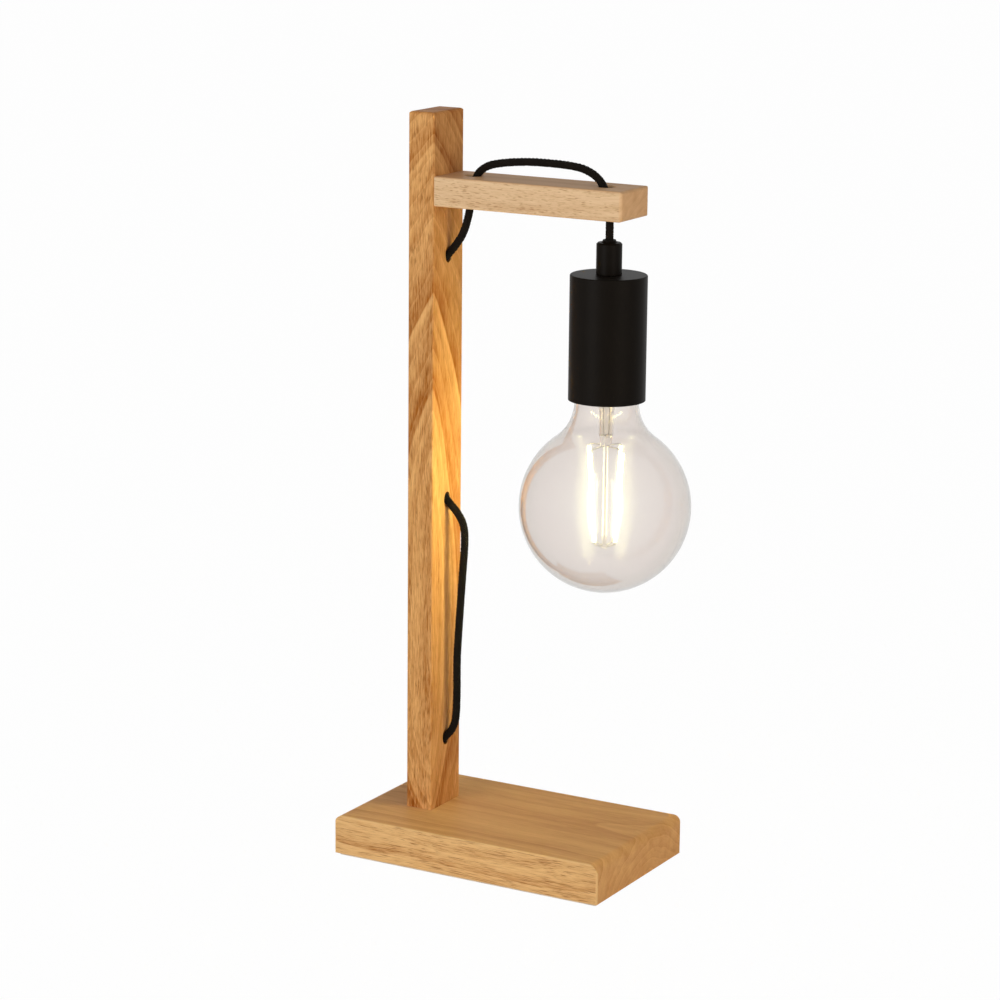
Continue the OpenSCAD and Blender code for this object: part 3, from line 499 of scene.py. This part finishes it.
class FlexSettings(bpy.types.PropertyGroup):
    """The braided flex."""

    strands: IntProperty(
        name="Strands each way", description="Strands that wind each way",
        default=8, min=4, max=16)
    pitch: FloatProperty(
        name="Braid pitch", description="Length of one turn of a strand",
        default=9.5 * MM, min=4 * MM, max=30 * MM, unit="LENGTH")
    strand: FloatProperty(
        name="Strand radius", description="Half a strand's thickness",
        default=0.42 * MM, min=0.1 * MM, max=MM, unit="LENGTH")
    colour: FloatVectorProperty(
        name="Yarn", description="Colour of the yarn",
        default=linear("18130E"), min=0, max=1, size=3, subtype="COLOR")


class HolderSettings(bpy.types.PropertyGroup):
    """The lampholder's coat."""

    colour: FloatVectorProperty(
        name="Coat", description="Colour of the powder coat",
        default=linear("120E0A"), min=0, max=1, size=3, subtype="COLOR")
    roughness: FloatProperty(
        name="Roughness", description="Roughness of the powder coat",
        default=0.42, min=0.1, max=1, subtype="FACTOR")


class BulbSettings(bpy.types.PropertyGroup):
    """The bulb."""

    glass: FloatVectorProperty(
        name="Glass", description="Tint of the glass",
        default=linear("FEFEFE"), min=0, max=1, size=3, subtype="COLOR")
    glow: FloatVectorProperty(
        name="Glow", description="Colour of the lit strips",
        default=(1.0, 1.0, 0.48), min=0, max=1, size=3, subtype="COLOR")
    power: FloatProperty(
        name="Glow strength", description="Strength of the lit strips",
        default=92.0, min=0, max=1000)


class StageSettings(bpy.types.PropertyGroup):
    """Ground, light and camera."""

    ground: FloatVectorProperty(
        name="Ground", description="Colour of the ground",
        default=(0.9, 0.9, 0.9), min=0, max=1, size=3, subtype="COLOR")
    sky: FloatProperty(
        name="Even light", description="Strength of the even light from all sides",
        default=0.3, min=0, max=5)
    key: FloatProperty(
        name="Key light", description="Power of the soft light in front",
        default=31.0, min=0, max=500, unit="POWER")
    fill: FloatProperty(
        name="Fill light", description="Power of the soft, warm light at the right",
        default=17.5, min=0, max=500, unit="POWER")
    lens: FloatProperty(
        name="Lens", description="Focal length on a 36 mm frame",
        default=116.5, min=10, max=500, unit="CAMERA")


# ---- pieces ----

class LAMP_OT_wood(bpy.types.Operator):
    """Gives the board, the post and the arm their own cuts of pale hardwood"""

    bl_idname = "lamp.wood"
    bl_label = "Wood"

    def execute(self, context):
        s = context.scene.lamp_wood
        # Plain-sawn rubberwood board, heart below it: fine brown pore lines along the front, ends deeper
        # in their own end-grain colour, a calm top deepened by painted shade, and a pale painted highlight
        # along the edges
        dress(["base_board"], plain_sawn_wood(
            "board rubberwood satin lacquer", s, "X",
            heart=(14, -38), still=-20, bow=(0.0, 0.0004), ring=6.0,
            pale=linear("E1B77F"), dark=linear("AE733B"), pore=linear("7C431A"),
            quiet=(1.0, 0.0, 0.85), fibres=1.35, pores=0.75, pore_size=(12.0, 0.3), painted_highlight_strength=1.0))
        # The post is warmer, with wide rings; its heart bends away past the front corner, so the
        # rings meet there in pointed arches
        # Its sides across X are deepened by painted shade, its end-grain top by its own colour
        dress(["post"], plain_sawn_wood(
            "post rubberwood satin lacquer", s, "Z",
            heart=(-28, -30), still=124, bow=(0.0008, -0.0008), low=2.0, ring=22.0,
            pale=linear("E1AC6D"), dark=linear("965214"), pore=linear("6E3C14"),
            quiet=(0.5, 0.0, 1.0), figure=0.6, fibres=1.75, pore_size=(5.0, 0.45)))
        # The arm is paler, with long straight grain and short specks for pores
        # Its ends are deepened by their own end-grain colour, its top by painted shade
        dress(["arm"], plain_sawn_wood(
            "arm rubberwood satin lacquer", s, "X",
            heart=(30, 330), still=0, bow=(0.0, 0.0003), ring=6.0,
            pale=linear("E0C098"), dark=linear("BC9066"), pore=linear("94602F"),
            quiet=(1.0, 0.0, 1.0), pore_size=(3.5, 0.45)))
        # Raw beech dowel: dry and even
        dress(["arm_dowels"], grained_material("dowel raw beech", linear("C79F70"), 0.7, grain=2.0))
        return {"FINISHED"}


class LAMP_OT_flex(bpy.types.Operator):
    """Lays a real over-two under-two braid along the laced flex and its free stretch"""

    bl_idname = "lamp.flex"
    bl_label = "Braided flex"

    def execute(self, context):
        s = context.scene.lamp_flex
        # Black cotton yarn, tightly braided: matt, with a nap that breaks up the light. Its fibres
        # are far too fine to show, so they are drawn 0.4 mm coarse
        yarn = grained_material("flex black cotton yarn", s.colour, 0.9,
            grain=0.4, relief=0.5, vary=0.3, specular=0.12)
        radius = (DROP_HIGH.x - DROP_LOW.x) / 2
        tree = braid_tree()
        rise = s.strand * STRAND_RISE
        values = {"Strands each way": s.strands, "Radius": radius - s.strand - rise, "Pitch": s.pitch,
                  "Strand radius": s.strand, "Rise": rise, "Material": yarn}
        points = [Vector((POST_X + x * MM, 0, BOARD_TOP + z * MM)) for x, z in FLEX_ROUTE]
        laced = smooth_route(points, ROUTE_STEPS)
        drop = [Vector((HANG_X, 0, DROP_HIGH.z - radius * DROP_TOP_IN)),
                Vector((HANG_X, 0, DROP_LOW.z + radius * DROP_FOOT_IN))]
        for name, node, body, route in (
                ("laced_flex", "flex", "stand", laced),
                ("hanging_flex_braid", "flex_drop", "hanging_flex", drop)):
            piece = bake(curve_object(name + "_route", route), name, tree, values)
            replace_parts(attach(piece, body), node)
        dress(["flex_tail"], yarn)
        # Brown PVC insulation: smooth, with a soft shine
        dress(["flex_cores", "holder_cores"], grained_material(
            "core insulation brown PVC", linear("6E4326"), 0.4))
        return {"FINISHED"}


class LAMP_OT_lampholder(bpy.types.Operator):
    """Coats the cup and the grip, and finishes what is inside them"""

    bl_idname = "lamp.lampholder"
    bl_label = "Lampholder"

    def execute(self, context):
        s = context.scene.lamp_holder
        # Fine-textured matt black powder coat on spun steel: a broad, dim highlight. Its grit is
        # drawn at 0.4 mm, since the real one would not show
        dress(["holder_cup", "cord_grip"], grained_material(
            "holder matt black powder coat", s.colour, s.roughness,
            grain=0.385, relief=0.25, vary=0.12, specular=0.04))
        # Moulded black phenolic: smooth, half gloss
        dress(["holder_dome", "holder_skirt"], grained_material(
            "holder moulded black phenolic", linear("1B1816"), 0.35, grain=3.3, relief=0.05))
        # Glazed porcelain: warm white with a wet shine
        dress(["contact_carrier"], grained_material(
            "carrier glazed porcelain", linear("E8E4DA"), 0.15, grain=5.0, relief=0.05))
        # Rolled and drawn brass, plain: a blurred yellow mirror
        dress(["thread_shell", "centre_contact", "side_contact", "terminal_sleeves"], grained_material(
            "contacts drawn brass", linear("C9A25A"), 0.3, grain=1.4, metallic=1.0))
        return {"FINISHED"}


class LAMP_OT_bulb(bpy.types.Operator):
    """Lights the bulb and finishes its glass, cap and inner parts"""

    bl_idname = "lamp.bulb"
    bl_label = "Bulb"

    def execute(self, context):
        s = context.scene.lamp_bulb
        # Blown soda-lime glass: clear, greyer towards its edge, and just rough enough to spread the
        # strips' light into a halo
        dress(["globe"], clear_glass("bulb clear glass", s.glass, 0.07))
        # Pressed clear glass, smoother and faintly warm
        dress(["stem"], clear_glass("stem clear glass", linear("FAF7F0"), 0.03, edge=0.25))
        for name in CLEAR_PIECES:
            NODES[name].visible_shadow = False
        # Phosphor silicone, lit: plain light with no detail
        dress(["filaments"], glowing_strip("filament lit phosphor", s.glow, s.power))
        # Nickel-plated rolled aluminium: a blurred, slightly warm mirror
        dress(["bulb_cap", "foot_contact"], grained_material(
            "cap nickel plate", linear("C9C6BF"), 0.28, grain=1.25, metallic=1.0))
        # Fused black insulating glass: glossy, nearly smooth
        dress(["cap_insulator"], grained_material(
            "cap black fused glass", linear("17151A"), 0.12, grain=3.3, relief=0.03))
        # Bright drawn molybdenum wire: a grey mirror
        dress(["support_wires"], grained_material(
            "wire bright drawn", linear("B9B4AA"), 0.25, metallic=1.0))
        # Green solder mask: smooth, half gloss
        dress(["driver_board"], grained_material("driver green solder mask", linear("1F5A33"), 0.35))
        return {"FINISHED"}


class LAMP_OT_fittings(bpy.types.Operator):
    """Finishes the fittings under and inside the board"""

    bl_idname = "lamp.fittings"
    bl_label = "Fittings"

    def execute(self, context):
        # Zinc-plated steel: a blurred grey mirror
        dress(["post_screws", "cover_screws", "terminal_screws", "fixing_screws", "grip_screw",
               "lock_nut", "holder_screws"], grained_material(
            "fittings bright zinc plate", linear("B8B7B2"), 0.35, metallic=1.0))
        # Soft black rubber: dull
        dress(["lead_grommet"], grained_material("grommet soft black rubber", linear("1A1917"), 0.75))
        # Natural nylon: milky white, matt
        dress(["cord_clamp", "terminal_block"], grained_material(
            "clamp natural nylon", linear("DDDACF"), 0.5))
        # Brown hardboard: smooth face with a fibrous fleck
        dress(["bottom_cover"], grained_material(
            "cover brown hardboard", linear("70502F"), 0.6, grain=1.7, relief=0.3))
        # Pressed natural wool felt: dry and hairy, its nap drawn 0.33 mm coarse
        dress(["base_felt"], grained_material(
            "underside pressed felt", linear("D9CFBE"), 0.95, grain=0.33, relief=0.8, vary=0.35))
        return {"FINISHED"}


# ---- stage ----

def soft_light(name, at, power, colour, apart):
    """A square soft light that faces the lamp and leaves a collection's pieces unlit."""
    lamp = bpy.data.lights.new(name, "AREA")
    lamp.shape = "SQUARE"
    lamp.size = LIGHT_SIZE
    lamp.energy = power
    lamp.color = colour
    made = bpy.data.objects.new(name, lamp)
    made.location = at
    made.rotation_euler = (Vector(LIGHT_AIM) - Vector(at)).to_track_quat("-Z", "Y").to_euler()
    made.visible_transmission = False
    made.light_linking.receiver_collection = apart
    bpy.context.scene.collection.objects.link(made)


def seen_directly(tree):
    """1 on rays that show a point straight, mirrored or through glass, 0 on rays that light it."""
    ray = add(tree, "ShaderNodeLightPath").outputs
    seen = maths(tree, "MAXIMUM", ray["Is Camera Ray"], ray["Is Glossy Ray"])
    return maths(tree, "MAXIMUM", seen, ray["Is Transmission Ray"])


def lay_ground(colour):
    """A white ground that keeps a faint shadow of the lamp."""
    w = GROUND_HALF
    mesh = bpy.data.meshes.new("ground")
    mesh.from_pydata([(-w, -w, 0), (w, -w, 0), (w, w, 0), (-w, w, 0)], [], [(0, 1, 2, 3)])
    ground = bpy.data.objects.new("ground", mesh)
    ground.location.z = -GROUND_GAP
    bpy.context.scene.collection.objects.link(ground)
    # White paper, matt
    made, tree = new_material("ground white paper")
    plain = add(tree, "ShaderNodeBsdfPrincipled", {"Base Color": rgba(colour), "Roughness": 0.9})
    glow = add(tree, "ShaderNodeEmission", {"Color": (1, 1, 1, 1), "Strength": 1.0})
    share = maths(tree, "MULTIPLY", seen_directly(tree), GROUND_GLOW)
    finish_material(tree, add(tree, "ShaderNodeMixShader", {
        0: share, 1: plain.outputs[0], 2: glow.outputs[0],
    }))
    mesh.materials.append(made)


def light_sky(strength):
    """Even white light, with a backdrop that is plain white where it is seen."""
    world = bpy.data.worlds.new("studio")
    world.use_nodes = True
    tree = world.node_tree
    tree.nodes.clear()
    power = maths(tree, "MULTIPLY_ADD", seen_directly(tree), 1.0 - strength, strength)
    back = add(tree, "ShaderNodeBackground", {"Color": (1, 1, 1, 1), "Strength": power})
    add(tree, "ShaderNodeOutputWorld", {"Surface": back.outputs[0]})
    bpy.context.scene.world = world


def set_camera(lens):
    """The camera, turned and tilted down at its place, then rolled about its line of sight."""
    data = bpy.data.cameras.new("camera")
    data.lens = lens
    data.sensor_width = FRAME_WIDTH
    data.clip_start = 50 * MM
    camera = bpy.data.objects.new("camera", data)
    turn, tilt, roll = (math.radians(v) for v in CAMERA_TURNS)
    ahead = Vector((-math.sin(turn) * math.cos(tilt), math.cos(turn) * math.cos(tilt), -math.sin(tilt)))
    level = Vector((math.cos(turn), math.sin(turn), 0))
    above = level.cross(ahead)
    right = math.cos(roll) * level + math.sin(roll) * above
    up = math.cos(roll) * above - math.sin(roll) * level
    axes = Matrix((right, up, -ahead)).transposed().to_4x4()
    camera.matrix_world = Matrix.Translation(CAMERA_AT) @ axes
    bpy.context.scene.collection.objects.link(camera)
    bpy.context.scene.camera = camera


class LAMP_OT_stage(bpy.types.Operator):
    """Builds the white ground, the soft light and the camera"""

    bl_idname = "lamp.stage"
    bl_label = "Stage"

    def execute(self, context):
        s = context.scene.lamp_stage
        lay_ground(s.ground)
        light_sky(s.sky)
        # Clear glass shows the backdrop alone, with no lamp mirrored in it
        apart = bpy.data.collections.new("glass without lamps")
        for name in CLEAR_PIECES:
            apart.objects.link(NODES[name])
        for item in apart.collection_objects:
            item.light_linking.link_state = "EXCLUDE"
        soft_light("key", KEY_AT, s.key, KEY_COLOUR, apart)
        soft_light("fill", FILL_AT, s.fill, FILL_COLOUR, apart)
        set_camera(s.lens)
        context.scene.view_settings.view_transform = "Standard"
        return {"FINISHED"}


# ---- add-on ----

class LAMP_PT_panel(bpy.types.Panel):
    """The lamp's pieces in the sidebar"""

    bl_label = "Bare bulb lamp"
    bl_space_type = "VIEW_3D"
    bl_region_type = "UI"
    bl_category = "Lamp"

    def draw(self, context):
        for step in STEPS:
            self.layout.operator(step.bl_idname)
        for group in GROUPS:
            settings = getattr(context.scene, group)
            for name in settings.bl_rna.properties.keys():
                if name not in {"rna_type", "name"}:
                    self.layout.prop(settings, name)


STEPS = (LAMP_OT_stage, LAMP_OT_flex, LAMP_OT_wood, LAMP_OT_lampholder, LAMP_OT_bulb, LAMP_OT_fittings)
GROUPS = {"lamp_wood": WoodSettings, "lamp_flex": FlexSettings, "lamp_holder": HolderSettings,
          "lamp_bulb": BulbSettings, "lamp_stage": StageSettings}


def register():
    """Registers the classes and hangs each group of settings on the scene."""
    for made in (*GROUPS.values(), *STEPS, LAMP_PT_panel):
        bpy.utils.register_class(made)
    for name, group in GROUPS.items():
        setattr(bpy.types.Scene, name, PointerProperty(type=group))


def unregister():
    """Takes back what register did."""
    for name in GROUPS:
        delattr(bpy.types.Scene, name)
    for made in (LAMP_PT_panel, *reversed(STEPS), *reversed(list(GROUPS.values()))):
        bpy.utils.unregister_class(made)


def main():
    """Runs every operator in order."""
    register()
    for step in STEPS:
        family, name = step.bl_idname.split(".")
        getattr(getattr(bpy.ops, family), name)()


if __name__ == "__main__":
    main()
